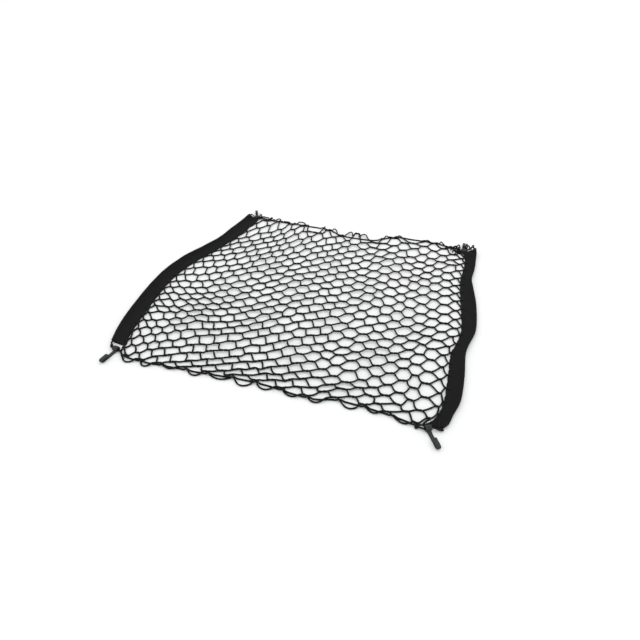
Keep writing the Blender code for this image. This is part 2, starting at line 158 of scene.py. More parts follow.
print("border points:", {side: len(line) for side, line in BORDERS.items()})

# %% [markdown]
# ## Turning a grid of points into a mesh
# Every new piece is a grid of points: lines of stations with points around, such as forty twines
# with rings of six points. The UV map is in metres, U along the piece and V round or across it, so
# that weaves and braids keep their real scale.

# %% Grids to meshes
def grid_faces(grid, lengths, widths, closed, capped):
    """Faces between neighbouring points, and one more at each end if `capped`. `lengths` and
    `widths` are the points' U and V; a closed ring takes one V more than it has points."""
    lines, stations, around = grid.shape[:3]
    index = np.arange(lines * stations * around).reshape(lines, stations, around)
    if closed:
        index = np.concatenate([index, index[:, :, :1]], axis=2)
    low, high = slice(None, -1), slice(1, None)
    corners = ((low, low), (high, low), (high, high), (low, high))
    quads = np.stack([index[:, s, a] for s, a in corners], axis=-1).reshape(-1, 4)
    uv = np.stack(np.broadcast_arrays(lengths, widths, index)[:2], axis=-1)
    uv = np.stack([uv[:, s, a] for s, a in corners], axis=-2).reshape(-1, 2)
    faces = quads.tolist()
    if capped:
        first = np.arange(lines)[:, None] * stations * around + np.arange(around)
        caps = np.concatenate([first, (first + (stations - 1) * around)[:, ::-1]])
        faces += caps.tolist()
        uv = np.concatenate([uv, np.zeros((caps.size, 2))])
    return faces, uv


def piece_from_grids(name, parts):
    """One mesh of several grids; each part is (grid, lengths, widths, closed, capped)."""
    points, faces, uvs = [], [], []
    for grid, lengths, widths, closed, capped in parts:
        before = sum(len(block) for block in points)
        more, uv = grid_faces(grid, lengths, widths, closed, capped)
        faces += [[corner + before for corner in face] for face in more]
        points.append(grid.reshape(-1, 3))
        uvs.append(uv)
    mesh = bpy.data.meshes.new(name)
    mesh.from_pydata(np.concatenate(points).tolist(), [], faces)
    mesh.uv_layers.new(name="UVMap").data.foreach_set("uv", np.concatenate(uvs).ravel())
    mesh.shade_smooth()
    piece = add_object(name, mesh)
    print(name, "has", len(mesh.vertices), "points and", len(mesh.polygons), "faces")
    return piece


def distance_along(centre):
    """Running length of each line of points."""
    steps = np.linalg.norm(np.diff(centre, axis=1), axis=2)
    return np.concatenate([np.zeros((len(centre), 1)), np.cumsum(steps, axis=1)], axis=1)


def tube(name, centre, radius, sides):
    """A round rod along each line, all as one piece: at every station a circle square to the line,
    set out from a level direction and the one above it."""
    way = unit(np.gradient(centre, axis=1))
    level = unit(np.stack([way[..., 1], -way[..., 0], np.zeros_like(way[..., 0])], axis=-1))
    above = np.cross(level, way)
    angle = np.linspace(0, FULL_TURN, sides, endpoint=False)
    ring = np.cos(angle)[:, None] * level[..., None, :]
    ring = ring + np.sin(angle)[:, None] * above[..., None, :]
    grid = centre[..., None, :] + radius * ring
    lengths = distance_along(centre)[..., None]
    widths = np.linspace(0, FULL_TURN * radius, sides + 1)
    return piece_from_grids(name, [(grid, lengths, widths, True, True)])


# %% [markdown]
# ## Where the elastic runs
# Each elastic comes out of a sleeve band's end, goes through the eye of the corner's hook, and runs
# just outside the panel's border through the last meshes to the other corner. The net holds it all
# along, so it is no free cord.

# %% Elastic routes
CORD_RADIUS = 2.0 * MM
CORD_HEIGHT = 2.1 * MM
CORD_BESIDE = 4.0 * MM  # from the border to the middle of the elastic
CORD_LEAD = 2.0  # how far it comes straight out of a sleeve, in millimetres
CORD_HIDDEN = 14.0  # how far it is seen to run on inside the sleeve's mouth
EDGE_STEP = 6.0 * MM
EYE_LEVEL = 5.1  # height of the elastic in a hook's eye
EYE_RUN = (-7.15, -5.72, 5.72, 7.15)  # it runs straight from the first of these to the last
CORNER_STEPS = 4
# Each hook: x and y of its eye, and the way its bend points, in degrees from the X axis.
HOOKS = {
    "near_left": (-4.0, 5.0, 264.0),
    "near_right": (719.5, -1.0, 302.0),
    "far_left": (13.0, 765.0, 117.0),
    "far_right": (722.0, 754.0, 91.0),
}
# Each corner: the sleeve's end; turns from there to the eye; turns from the eye to the edge; and
# the x from which the elastic lies along the edge.
CORNERS = {
    "near_left": ((-29.9, 23.7, 5.0), ((-26, 16, 5.0), (-20, 7, 5.2)), (), 22),
    "near_right": (
        (738.7, 8.7, 4.4), ((748, 4, 4.6), (740, 3, 4.8), (732, 4, 5.3)), ((703, -3, 4.2),), 688),
    "far_left": (
        (-11.6, 763.0, 10.9), ((-10, 768, 11.5), (-2, 766, 9.0)),
        ((33, 777, 4.5), (46, 775, 3.0)), 60),
    "far_right": (
        (753.4, 766.9, 11.9), ((751, 773, 13.5), (744, 771, 13.0), (737, 761, 9.0)),
        ((707, 758, 5.2), (696, 767, 3.6)), 678),
}


def eye_points(corner):
    """Four points straight through the eye, square to the way in which the hook points."""
    x, y, heading = HOOKS[corner]
    turned = math.radians(heading - 90)
    way = np.array((math.cos(turned), math.sin(turned), 0))
    run = np.array((x, y, EYE_LEVEL)) + way * np.sign(way[0]) * np.array(EYE_RUN)[:, None]
    return run[::-1] if corner.endswith("right") else run


def corner_points(corner):
    """From inside the sleeve's mouth, out of it, through the eye and on to the panel's edge."""
    end, outer, inner, _ = CORNERS[corner]
    out = 1 if corner.startswith("far") else -1
    mouth = [np.array(end) - (0, out * reach, 0) for reach in (CORD_HIDDEN, 0, -CORD_LEAD)]
    return np.vstack([mouth, np.array(outer), eye_points(corner)] + [inner] * bool(inner))


def elastic_route(side):
    """Both corners' points, with points along the edge between them, every 6 mm."""
    left, right = side + "_left", side + "_right"
    line = elastic_lines[side]
    start, end = in_plan(((CORNERS[left][3], 0), (CORNERS[right][3], 0)))[:, 0]
    x = np.arange(start, end, EDGE_STEP)
    edge = np.stack([x, np.interp(x, line[:, 0], line[:, 1]), np.full(len(x), CORD_HEIGHT)], 1)
    corners = [corner_points(corner) * MM - np.append(PLAN_ORIGIN, 0) for corner in (left, right)]
    first = curve_through(np.vstack([corners[0], edge[:1]]), CORNER_STEPS)[:-1]
    last = curve_through(np.vstack([corners[1], edge[-1:]]), CORNER_STEPS)[:-1]
    return np.vstack([first, edge, last[::-1]])


# The middle of each elastic on the plan, beside the border.
elastic_lines = {
    "near": beside(BORDERS["near"], CORD_BESIDE), "far": beside(BORDERS["far"], -CORD_BESIDE)}
elastic_routes = {side: elastic_route(side) for side in elastic_lines}
for side, route in elastic_routes.items():
    print(side, "elastic is %.3f m long" % distance_along(route[None])[0, -1])

# %% [markdown]
# ## How the netting lies
# Knotless netting is made of twines side by side. Each zigzags: it lies with the twine on its one
# side for the length of a joint, crosses as a single leg, then lies with the twine on its other
# side. Twenty-seven joints lie across the panel and twenty meshes from front to back. The net is
# slack and askew, so two tables, read off the photograph, say where a few rows and columns of
# joints lie, and smooth surfaces through them give all the others.

# %% Rows and columns of joints
LEVELS = 41  # half rows of meshes, front to back
COLUMNS = 27
# How far back a half row of joints lies, in thousandths of the panel, at seven places from left to
# right. One row of the table for every fifth half row, from the near edge.
ROW_PLACES = (
    (-30, -30, -15, -25, -30, -45, -20),
    (95, 85, 65, 65, 80, 75, 105),
    (205, 195, 175, 180, 190, 190, 245),
    (305, 290, 280, 315, 305, 305, 375),
    (415, 385, 400, 445, 440, 430, 500),
    (545, 515, 530, 580, 575, 575, 635),
    (675, 665, 665, 715, 720, 715, 770),
    (815, 830, 825, 865, 880, 850, 910),
    (965, 985, 1000, 1020, 1025, 1000, 1020),
)
# How far across a column of joints lies, at the same seven places, from the near edge to the far.
COLUMN_PLACES = (
    (10, 125, 295, 480, 665, 855, 995),
    (12, 160, 320, 485, 655, 825, 985),
    (18, 185, 350, 505, 665, 835, 985),
    (22, 175, 330, 490, 655, 815, 980),
    (15, 155, 300, 455, 625, 810, 980),
    (10, 145, 285, 435, 605, 800, 995),
)


def table_weights(count, share):
    """How much each of `count` evenly spaced rows counts at a share from 0 to 1: a Catmull-Rom
    curve that runs straight on past the first and the last row."""
    at = np.asarray(share, float) * (count - 1)
    row = np.clip(np.floor(at).astype(int), 0, count - 2)
    cubic = (at - row)[:, None] ** np.arange(4) @ CATMULL_ROM
    weights = np.zeros((len(at), count + 2))
    np.put_along_axis(weights, row[:, None] + np.arange(4), cubic, axis=1)
    weights[:, 1:3] += weights[:, :1] * (2, -1)
    weights[:, -3:-1] += weights[:, -1:] * (-1, 2)
    return weights[:, 1:-1]


def spread(table, row_share, column_share):
    """The table's smooth surface, at every one of the rows and columns asked for."""
    table = np.array(table)
    rows = table_weights(table.shape[0], row_share)
    columns = table_weights(table.shape[1], column_share)
    return rows @ table @ columns.T


def border_at(side, share):
    """Point of a border at a share of its reach, straight on past its ends."""
    line = BORDERS[side]
    axis = 0 if side in ("near", "far") else 1
    inside = np.clip(share, 0, 1)
    reach = line[-1] - line[0]
    at = line[0, axis] + inside * reach[axis]
    place = np.stack([np.interp(at, line[:, axis], values) for values in line.T], axis=-1)
    return place + (share - inside)[..., None] * reach


def panel_place(across, back):
    """Coons patch: what the four borders say, less what their corners say twice."""
    a, b = across[..., None], back[..., None]
    sides = border_at("left", back) * (1 - a) + border_at("right", back) * a
    ends = border_at("near", across) * (1 - b) + border_at("far", across) * b
    near, far = BORDERS["near"], BORDERS["far"]
    corners = (near[0] * (1 - a) + near[-1] * a) * (1 - b) + (far[0] * (1 - a) + far[-1] * a) * b
    return sides + ends - corners


column_numbers = np.arange(-1, COLUMNS + 1)  # one more at each side, hidden in the band
level_share = np.arange(LEVELS) / (LEVELS - 1)
column_share = np.clip(column_numbers, 0, COLUMNS - 1) / (COLUMNS - 1)
joint_across = spread(COLUMN_PLACES, level_share, column_share) / 1000
joint_back = spread(ROW_PLACES, level_share, column_share) / 1000
joint_centre = panel_place(joint_across, joint_back)
print("joints:", joint_centre.shape[:2], "mean pitch %.1f mm" % (
    np.diff(joint_centre[:, 1:-1, 0], axis=1).mean() / MM))

# %% [markdown]
# ## Unevenness
# A machine knits the meshes alike, and handling pulls them out of line. Each joint is moved and
# turned a little at random, from a seeded generator, so that the same net comes out each time.
# Where the photograph shows the meshes askew, like bricks, the joints turn together. Where it shows
# them dragged or squeezed, a pull moves the joints round a place, by a bell curve.

# %% Uneven joints
# How far the joints are turned, in degrees, at seven places across: a row for each sixth of the
# depth, from the near edge.
JOINT_TILTS = (
    (-22, 20, 22, 24, 18, 6, 0), (-20, 10, 22, 22, 16, 8, 3), (-20, -3, 20, 18, 10, 8, 10),
    (-22, 2, 20, 18, 9, 6, 14), (-10, 6, 18, 16, 6, 3, 20), (14, 18, 13, 18, 12, 8, 14),
    (18, 18, 8, 8, 10, 16, 20),
)
# Places where the netting is pulled out of line: x, y, how far it is pulled to the right and to
# the back there, and how far round about that is felt.
PULLS = (
    (116, 680, 4, -25, 34), (165, 652, -2, -8, 20), (72, 726, -9, -2, 18), (212, 660, 9, 0, 18),
    (205, 575, 0, -7, 30), (30, 350, 0, -8, 50), (120, 60, 0, -8, 18), (530, 85, 0, -9, 24),
    (692, 652, 5, 9, 13), (668, 640, -6, -6, 13), (706, 690, -6, -8, 13), (700, 600, 6, 5, 13),
    (716, 560, -7, 0, 15), (690, 252, -5, 8, 14), (672, 700, 6, 3, 12), (681, 10, 14, 0, 14),
    (30, 14, -8, -1, 24), (650, 22, 14, 4, 16),
)
JOINT_SHARE = 0.60  # a joint's share of the pitch between columns
JITTER = np.array((1.6, 1.7)) * MM
UNEVEN_TILT = math.radians(7)
UNEVEN_LENGTH = 0.12
SIDE_TUCK = 4.5 * MM  # from the panel's border to the middle of the side meshes' last joint
SIDE_HALF = 4.0 * MM
RANDOM_SEED = 11

random = np.random.default_rng(RANDOM_SEED)
joint_pitch = np.linalg.norm(np.gradient(joint_centre, axis=1), axis=-1)
joint_centre += random.normal(size=joint_centre.shape) * JITTER
pulls = np.array(PULLS) * MM
away = np.linalg.norm(joint_centre[..., None, :] - (pulls[:, :2] - PLAN_ORIGIN), axis=-1)
joint_centre += np.exp(-(away / pulls[:, 4]) ** 2) @ pulls[:, 2:4]
joint_tilt = np.radians(spread(JOINT_TILTS, level_share, column_share))
joint_tilt += random.normal(size=joint_tilt.shape) * UNEVEN_TILT
joint_half = 0.5 * JOINT_SHARE * joint_pitch
joint_half *= 1 + UNEVEN_LENGTH * random.normal(size=joint_half.shape)
for place, side, outward in ((0, "left", -1), (-1, "right", 1)):
    joint_centre[:, place] = border_at(side, joint_back[:, place])
    joint_centre[:, place, 0] += outward * SIDE_TUCK
    joint_half[:, place] = SIDE_HALF
    joint_tilt[:, place] = 0.0
print("joint tilt from %.0f to %.0f degrees" % (
    math.degrees(joint_tilt.min()), math.degrees(joint_tilt.max())))

# %% [markdown]
# ## The last meshes hang on the elastic
# Along the near and the far edge the last twine goes round the elastic, and its slack stands out
# beyond it in loops. They differ a lot and are a clear part of the net's outline, so each loop has
# its own row.

# %% Edge loops
# x of the loop's middle, reach beyond the elastic, half width, height off the floor.
NEAR_LOOPS = (
    (22, 3, 4, 0), (40, 13, 18, 0), (87, 12, 14, 0), (146, 6, 16, 0), (207, 11, 17, 0),
    (266, 10, 25, 0), (321, 18, 22, 0), (370, 13, 20, 0), (431, 8, 18, 0), (487, 9, 17, 0),
    (557, 15, 20, 0), (607, 8, 14, 0), (668, 8, 17, 0), (697, 8, 3, 0),
)
FAR_LOOPS = (
    (66, 8, 4, 5), (94, 13, 9, 4), (130, 2, 8, 0), (176, 15, 19, 4), (201, 3, 4, 0),
    (260, 9, 3, 5), (300, 14, 12, 4), (356, 33, 12, 3), (402, 31, 16, 3), (471, 12, 8, 4),
    (511, 7, 7, 3), (604, 5, 5, 3), (650, 11, 6, 4), (699, 13, 4, 7),
)
LOOP_END = 0.10  # the share of a loop's reach at the ends of its arc
EDGE_GAP = 6.0 * MM  # from the elastic's middle to the joints of the row that hangs on it
EDGE_LEVELS = 5  # the half rows that are drawn towards the elastic with that row
# Joints of the far row that hang slack off the elastic, or lie beyond it between two loops:
# column, x, y and half length.
LOOSE_JOINTS = (
    (1, 47, 755, 8), (9, 234, 725, 21), (15, 377, 765, 8), (17, 446, 721, 9), (21, 562, 758, 11),
)


def elastic_y(side, x):
    """Where the elastic's middle lies, for each x."""
    line = elastic_lines[side]
    return np.interp(x, line[:, 0], line[:, 1])


joint_lift = np.zeros(joint_half.shape)
loop_reach = np.zeros(joint_half.shape)
loop_columns = np.arange(0, COLUMNS, 2) + 1
for level, side, outward, loops in ((0, "near", -1, NEAR_LOOPS), (-1, "far", 1, FAR_LOOPS)):
    x, reach, half, lift = np.array(loops).T * MM
    x = x - PLAN_ORIGIN[0]
    at = (level, loop_columns)
    joint_centre[at] = np.stack([x, elastic_y(side, x) + outward * reach], axis=1)
    loop_reach[at] = outward * reach
    joint_half[at] = half
    joint_tilt[at] = 0.0
    joint_lift[at] = lift
    near_edge = (level - outward * np.arange(1, EDGE_LEVELS)) % LEVELS
    first_row = joint_centre[near_edge[0]]
    drawn = elastic_y(side, first_row[:, 0]) - outward * EDGE_GAP - first_row[:, 1]
    drawn = np.interp(column_numbers, column_numbers[::2], drawn[::2])
    fading = 1 - np.arange(EDGE_LEVELS - 1) / (EDGE_LEVELS - 1)
    joint_centre[near_edge, :, 1] += fading[:, None] * drawn
for column, x, y, half in LOOSE_JOINTS:
    at = (-2, column + 1)
    joint_centre[at] = in_plan((x, y))
    joint_half[at] = half * MM
    joint_tilt[at] = 0.0
print("loops:", len(NEAR_LOOPS), "near and", len(FAR_LOOPS), "far")

# %% [markdown]
# ## Following one twine
# Twine number m zigzags between half rows m and m+1. In a joint two twines turn once about each
# other, so each point's place is the joint's middle line plus a small circle, half a turn apart.
# A leg is a straight run with a slight bow. All twines are worked out together, as an array of
# twines, columns, points and axes.

# %% Twine lines
TWINE_RADIUS = 2.0 * MM
TWINE_OFFSET = 0.85 * MM  # from the middle of a joint to the middle of each of its twines
JOINT_POINTS = 9
LEG_POINTS = 3
LEG_BOW = 1.3 * MM
LEG_SAG = 0.6 * MM
RIPPLE = 3.0 * MM

twine_number = np.arange(LEVELS - 1)[:, None]
level_at = twine_number + np.mod(column_numbers + twine_number, 2)
at = (level_at, np.arange(len(column_numbers)))
partner_side = np.where(level_at == twine_number, 1.0, -1.0)
single = (level_at == 0) | (level_at == LEVELS - 1)
offset = np.where(single, 0.0, TWINE_OFFSET)[..., None]

share = np.linspace(0, 1, JOINT_POINTS)
turn = FULL_TURN * share + np.where(partner_side > 0, 0.0, math.pi)[..., None]
along = (2 * share - 1) * joint_half[at][..., None]
aside = offset * np.cos(turn)
tilt = joint_tilt[at][..., None]
middle = joint_centre[at][..., None, :]
joint_line = np.stack([
    middle[..., 0] + along * np.cos(tilt) - aside * np.sin(tilt),
    middle[..., 1] + along * np.sin(tilt) + aside * np.cos(tilt),
    offset * (1 + np.sin(turn)) + joint_lift[at][..., None],
], axis=-1)

arc = LOOP_END + (1 - LOOP_END) * (1 - (2 * share - 1) ** 2)
for side, edge_twine in (("near", 0), ("far", -1)):
    at = (edge_twine, loop_columns)
    loop = joint_line[at]
    loop[..., 1] = elastic_y(side, loop[..., 0]) + loop_reach[at][:, None] * arc
    joint_line[at] = loop

share = (np.arange(LEG_POINTS) + 1) / (LEG_POINTS + 1)
start, end = joint_line[:, :-1, -1:], joint_line[:, 1:, :1]
leg_line = start + (end - start) * share[:, None]
way = end - start
square = unit(np.stack([-way[..., 1], way[..., 0]], axis=-1))
bow = random.normal(size=way.shape[:2]) * LEG_BOW
leg_line[..., :2] += bow[..., None, None] * np.sin(math.pi * share)[:, None] * square
leg_line[..., 2] -= LEG_SAG * np.sin(math.pi * share) * (start[..., 2] > 0)

spare = np.zeros_like(leg_line[:, :1])  # no leg follows the last joint
twine_line = np.concatenate([joint_line, np.concatenate([leg_line, spare], axis=1)], axis=2)
twine_line = twine_line.reshape(LEVELS - 1, -1, 3)[:, :-LEG_POINTS]
smoothed = (twine_line[:, :-2] + 2 * twine_line[:, 1:-1] + twine_line[:, 2:]) / 4
twine_line[:, 1:-1, :2] = smoothed[..., :2]
print("twines and points on each:", twine_line.shape[:2])

# %% [markdown]
# ## Height over the floor
# The slack netting lies in low waves, lowest at its borders. Where an edge twine meets the elastic,
# one leg of each loop passes over it and the next one under it, and the elastic rises over that.

# %% Waves and crossings
PANEL_REACH = in_plan(((0, 0), (720, 780)))
BORDER_FADE = 8  # how soon the waves reach their full height inside the borders
# How far the two waves turn, in radians: across the panel, then from front to back.
WAVES = ((23, -5), (9, 17))
CROSSING_WIDTH = 4.2 * MM
UNDER_REACH = 2 * CROSSING_WIDTH
OVER_ELASTIC = CORD_HEIGHT + CORD_RADIUS + TWINE_RADIUS


def wave_height(place):
    """Two crossed sine waves, faded to nothing at the panel's borders."""
    share = (place - PANEL_REACH[0]) / (PANEL_REACH[1] - PANEL_REACH[0])
    fade = np.clip(BORDER_FADE * share * (1 - share), 0, 1).prod(axis=-1)
    first, second = np.moveaxis(share @ np.array(WAVES), -1, 0)
    return RIPPLE * fade * (0.5 + 0.5 * np.sin(first) * np.cos(second))


twine_line[..., 2] += TWINE_RADIUS + wave_height(twine_line[..., :2])
under_places = {}
for side, edge_twine in (("near", 0), ("far", LEVELS - 2)):
    x, y, z = np.moveaxis(twine_line, -1, 0)
    past = y - elastic_y(side, x)
    crossed = np.nonzero(past[edge_twine, :-1] * past[edge_twine, 1:] < 0)[0]
    under_places[side] = x[edge_twine, crossed[::2]]
    gap = np.abs(x[edge_twine, :, None] - x[edge_twine, crossed])
    under_gap = gap[:, ::2].min(axis=1)
    beneath = (under_gap < UNDER_REACH) & (under_gap < gap[:, 1::2].min(axis=1))
    close = np.exp(-(past / CROSSING_WIDTH) ** 2)
    close[edge_twine] *= ~beneath
    twine_line[..., 2] = np.maximum(z, z + (OVER_ELASTIC - z) * close)
    twine_line[edge_twine, beneath, 2] = TWINE_RADIUS
    print(side, "edge twine crosses the elastic", len(crossed), "times")
twine_line[..., 2] = np.maximum(twine_line[..., 2], TWINE_RADIUS)

# %% [markdown]
# ## The netting
# All the twines are one piece. Each is a rod with six sides, enough for a twine four millimetres
# thick.

# %% Netting
TWINE_SIDES = 6
netting = tube("netting", twine_line, TWINE_RADIUS, TWINE_SIDES)
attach(netting, "root")
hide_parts("net")

# %% [markdown]
# ## Meshes gathered at the corners
# At the far corners, and a little at the near left one, the outermost meshes bunch up about the
# hook's eye and stand off the floor. Each is a loop of the same twine: a straight line from foot
# to foot, which rises and leans back as a half sine.

# %% Gathered loops
# Both feet's x and y, the height of the loop's middle and how far it leans back.
GATHERED_LOOPS = (
    (684, 754, 704, 764, 8, 9), (690, 742, 712, 758, 7, 14), (697, 760, 713, 764, 12, 12),
    (699, 734, 716, 742, 6, 8), (702, 748, 714, 750, 10, 16), (728, 767, 741, 779, 11, 8),
    (726, 776, 733, 774, 13, 12), (744, 776, 754, 776, 13, 9), (706, 740, 718, 736, 8, 10),
    (20, 766, 44, 758, 4, 4), (16, 776, 27, 770, 8, 8), (-26, 14, -12, 2, 6, 3),
)
GATHERED_POINTS = 12

feet = np.array(GATHERED_LOOPS, float)
share = np.linspace(0, 1, GATHERED_POINTS)
rise = np.sin(math.pi * share)
first_foot, last_foot = in_plan(feet[:, :2]), in_plan(feet[:, 2:4])
gathered_line = np.zeros((len(feet), GATHERED_POINTS, 3))
gathered_line[..., :2] = first_foot[:, None] + (last_foot - first_foot)[:, None] * share[:, None]
gathered_line[..., 1] += feet[:, 5:] * MM * rise
gathered_line[..., 2] = TWINE_RADIUS + feet[:, 4:5] * MM * rise
gathered = tube("gathered_meshes", gathered_line, TWINE_RADIUS, TWINE_SIDES)
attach(gathered, "root")

# %% [markdown]
# ## The two elastics
# They are tubes on the routes found above. Over each leg that passes beneath, the route rises in
# a smooth hump, a bell curve a little wider than the twine.

# %% Elastics
HUMP_WIDTH = 5.0 * MM
HUMP_HEIGHT = 2 * TWINE_RADIUS
LOW_ENOUGH = CORD_HEIGHT + 1.5 * MM  # the elastic has no humps where it lies higher than this
ELASTIC_SIDES = 12
ELASTIC_STEPS = 2


def elastic_piece(side):
    """The route with a hump at each crossing, as one round tube."""
    route = elastic_routes[side].copy()
    gap = (route[:, :1] - under_places[side]) / HUMP_WIDTH
    on_edge = np.clip((LOW_ENOUGH - route[:, 2]) / MM, 0, 1)
    route[:, 2] += HUMP_HEIGHT * np.exp(-gap ** 2).max(axis=1) * on_edge
    line = curve_through(route, ELASTIC_STEPS)[None]
    piece = tube("elastic_" + side, line, CORD_RADIUS, ELASTIC_SIDES)
    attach(piece, "root")
    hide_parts("cord_" + side)
    return piece


elastics = [elastic_piece(side) for side in ("near", "far")]

# %% [markdown]
# ## The sleeve bands
# Each band is a tape 76 to 90 mm wide, folded in half lengthwise over the side meshes and an
# elastic core, and stitched along its inner edge. Its section is one open line from the lower
# layer's inner edge out to the fold, over the core and back on top. Carried along the panel's
# border it gives the band, and Solidify gives it thickness inwards.

# %% Band tables
# Each row: y, gap from the panel's border to the band's inner edge, width, height of the underside
# and how much more the fold stands up.
LEFT_BAND = (
    (24, 2, 37, 0, 3), (60, 2, 39, 0, 4), (96, 2, 40, 0, 6), (170, 2, 41, 0, 7),
    (244, 2, 41, 0, 7), (311, 2, 40, 0, 8), (373, 2, 42, 0, 8), (440, 2, 44, 0, 8),
    (502, 2, 43, 0, 7), (576, 2, 41, 0, 6), (650, 2, 44, 0, 7), (720, 2, 43, 0, 7),
    (754, 2, 42, 4, 6),
)
RIGHT_BAND = (
    (9, 2, 38, 0, 2), (30, 3, 31, 0, 2), (53, 4, 28, 0, 3), (96, 3, 33, 0, 4), (170, 4, 35, 0, 4),
    (244, 4, 33, 0, 4), (281, 4, 29, 0, 5), (342, 2, 34, 0, 4), (404, 0, 38, 0, 4),
    (477, -2, 40, 0, 4), (551, -3, 35, 0, 5), (588, -2, 30, 0, 6), (650, -1, 31, 0, 4),
    (705, 0, 32, 0, 4), (735, 2, 38, 3, 5), (744, 2, 43, 5, 6),
)
# The folded tape's section: share of the band's width from its inner edge, and height in mm.
TAPE_SECTION = (
    (0.03, 0.0), (0.30, 0.0), (0.55, 0.0), (0.84, 0.0), (0.95, 0.8), (1.00, 3.2), (0.95, 5.6),
    (0.85, 6.3), (0.74, 4.6), (0.55, 3.4), (0.25, 3.0), (0.07, 2.7), (0.00, 2.3),
)
BAND_STEP = 3.0 * MM
SECTION_STEPS = 4
TAPE_THICKNESS = 0.9 * MM
SLANT_LENGTH = 40.0 * MM
SLANT_POWER = 1.5
FLAT_SHARE = 0.3  # the inner share of the band, which no lift reaches
TABLE_STEPS = 8

# %% [markdown]
# ## The bands' surface
# The upper layer puckers over each leg of the netting that runs under it, and its edge frills a
# little there. The left band is smooth but for long soft waves. The right one is also gathered at
# the far corner and pinched at two more places.

# %% Band surface
EDGE_FADE = 0.12  # share of the width over which the puckers fade
PUCKER_HEIGHT = 1.3 * MM
PUCKER_WIDTH = 4.5 * MM
FRILL = 1.2 * MM
# Waves along a band: the length over which each turns by a radian, in mm, and how much it slants.
LEFT_WAVES = ((11, 0), (37, 4))
RIGHT_WAVES = ((13, 2), (41, 5))
RIDGES = ((3.1, 5), (5.3, -3))
SECOND_RIDGE = 0.7
# Gathers of the right band: y of their middle, how far along the band they reach, and their height.
GATHERS = ((720, 35, 0.6), (590, 22, 0.4), (275, 22, 0.3))


def waves_along(y, share, table):
    """The two sine waves of a table, along the band and slanting across it."""
    return [np.sin(y / (length * MM) + slant * share) for length, slant in table]


def left_creases(y, share):
    """The product of two long waves, a third of a millimetre high."""
    first, second = waves_along(y, share, LEFT_WAVES)
    return 0.35 * MM * first * second


def right_creases(y, share):
    """Long waves, and ridges that stand up round each gather as a bell curve along the band."""
    middle, reach, height = np.array(GATHERS).T
    place = (y + PLAN_ORIGIN[1])[..., None] / MM
    gathered = np.exp(-((place - middle) / reach) ** 2) @ height
    first, second = waves_along(y, share, RIDGES)
    long_first, long_second = waves_along(y, share, RIGHT_WAVES)
    creases = gathered * (first + SECOND_RIDGE * second) + 0.4 * long_first * long_second
    return MM * creases * np.sin(math.pi * np.clip(share, 0, 1))


# Each band's table, the side on which it lies, how far its near and its far end run out at the
# fold, and its creases.
BANDS = {
    "left": (LEFT_BAND, -1, (4 * MM, 10 * MM), left_creases),
    "right": (RIGHT_BAND, 1, (0.0, 26 * MM), right_creases),
}


def band_surface(side, y, share, height, upper):
    """A point lies `share` of the band's width outside the inner line. Its height is the
    section's, plus the table's lift towards the fold, and where `upper` is 1 also the puckers
    over the side legs and the creases."""
    rows, outward, (near_slant, far_slant), creases = BANDS[side]
    fine = curve_through(np.array(rows, float) * MM, TABLE_STEPS)
    fine[:, 0] -= PLAN_ORIGIN[1]
    gap, width, base, lift = [np.interp(y, fine[:, 0], values) for values in fine.T[1:]]
    inner = BORDERS[side]
    fold = np.clip((share - FLAT_SHARE) / (1 - FLAT_SHARE), 0, None) ** 2
    slant = far_slant * np.clip(1 - (fine[-1, 0] - y) / SLANT_LENGTH, 0, None)
    slant = slant + near_slant * np.clip(1 - (y - fine[0, 0]) / SLANT_LENGTH, 0, None)
    legs = joint_centre[:, 0 if side == "left" else -1, 1]
    pucker = np.exp(-((y[..., None] - legs) / PUCKER_WIDTH) ** 2).max(axis=-1)
    at_edge = np.exp(-share / EDGE_FADE) * upper
    x = np.interp(y, inner[:, 1], inner[:, 0])
    x = x + outward * (gap + share * width + at_edge * FRILL * (pucker - 0.5))
    z = height + base + lift * fold + PUCKER_HEIGHT * pucker * at_edge + creases(y, share) * upper
    back = y + slant * np.clip(share, 0, 1) ** SLANT_POWER
    return np.stack(np.broadcast_arrays(x, back, np.maximum(z, 0.0)), axis=-1)


# %% Folded bands
section = curve_through(np.array(TAPE_SECTION), SECTION_STEPS)
section_share, section_height = section[:, 0], section[:, 1] * MM
on_top = (np.arange(len(section)) > np.argmax(section_share)) * 1.0


def band_reach(side):
    """Where a band starts and ends along Y."""
    rows = BANDS[side][0]
    return in_plan(((0, rows[0][0]), (0, rows[-1][0])))[:, 1]


def band_piece(side):
    """The folded tape of one side, with its thickness."""
    outward = BANDS[side][1]
    start, end = band_reach(side)
    y = np.linspace(start, end, int((end - start) / BAND_STEP) + 1)[:, None]
    grid = band_surface(side, y, section_share, section_height, on_top)
    steps = np.linalg.norm(np.diff(grid[len(grid) // 2], axis=0), axis=1)
    across = np.concatenate([[0], np.cumsum(steps)])
    if outward < 0:
        grid, across = grid[:, ::-1], across[::-1]
    lengths = distance_along(grid[None, :, len(across) // 2])[..., None]
    piece = piece_from_grids("band_" + side, [(grid[None], lengths, across, False, False)])
    thick = piece.modifiers.new("tape thickness", "SOLIDIFY")
    thick.thickness = TAPE_THICKNESS
    thick.offset = -1.0
    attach(piece, "root")
    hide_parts("sleeve_" + side)
    print("band_" + side, "is cut %.1f mm wide, %.0f mm long" % (
        across.max() / MM, lengths.max() / MM))
    return piece


bands = {side: band_piece(side) for side in BANDS}

# %% [markdown]
# ## The stitches
# A lockstitch in black thread holds each band's two layers together, a few millimetres from the
# inner edge. Each stitch is a short rod that rises out of the tape and back into it, as a half
# sine.

# %% Stitches
STITCH_SHARE = 0.14  # where the seam runs, as a share of the band's width
STITCH_PITCH = 4.2 * MM
STITCH_LENGTH = 3.4 * MM
STITCH_RISE = 0.35 * MM
THREAD_RADIUS = 0.28 * MM
STITCH_POINTS = 6
THREAD_SIDES = 5


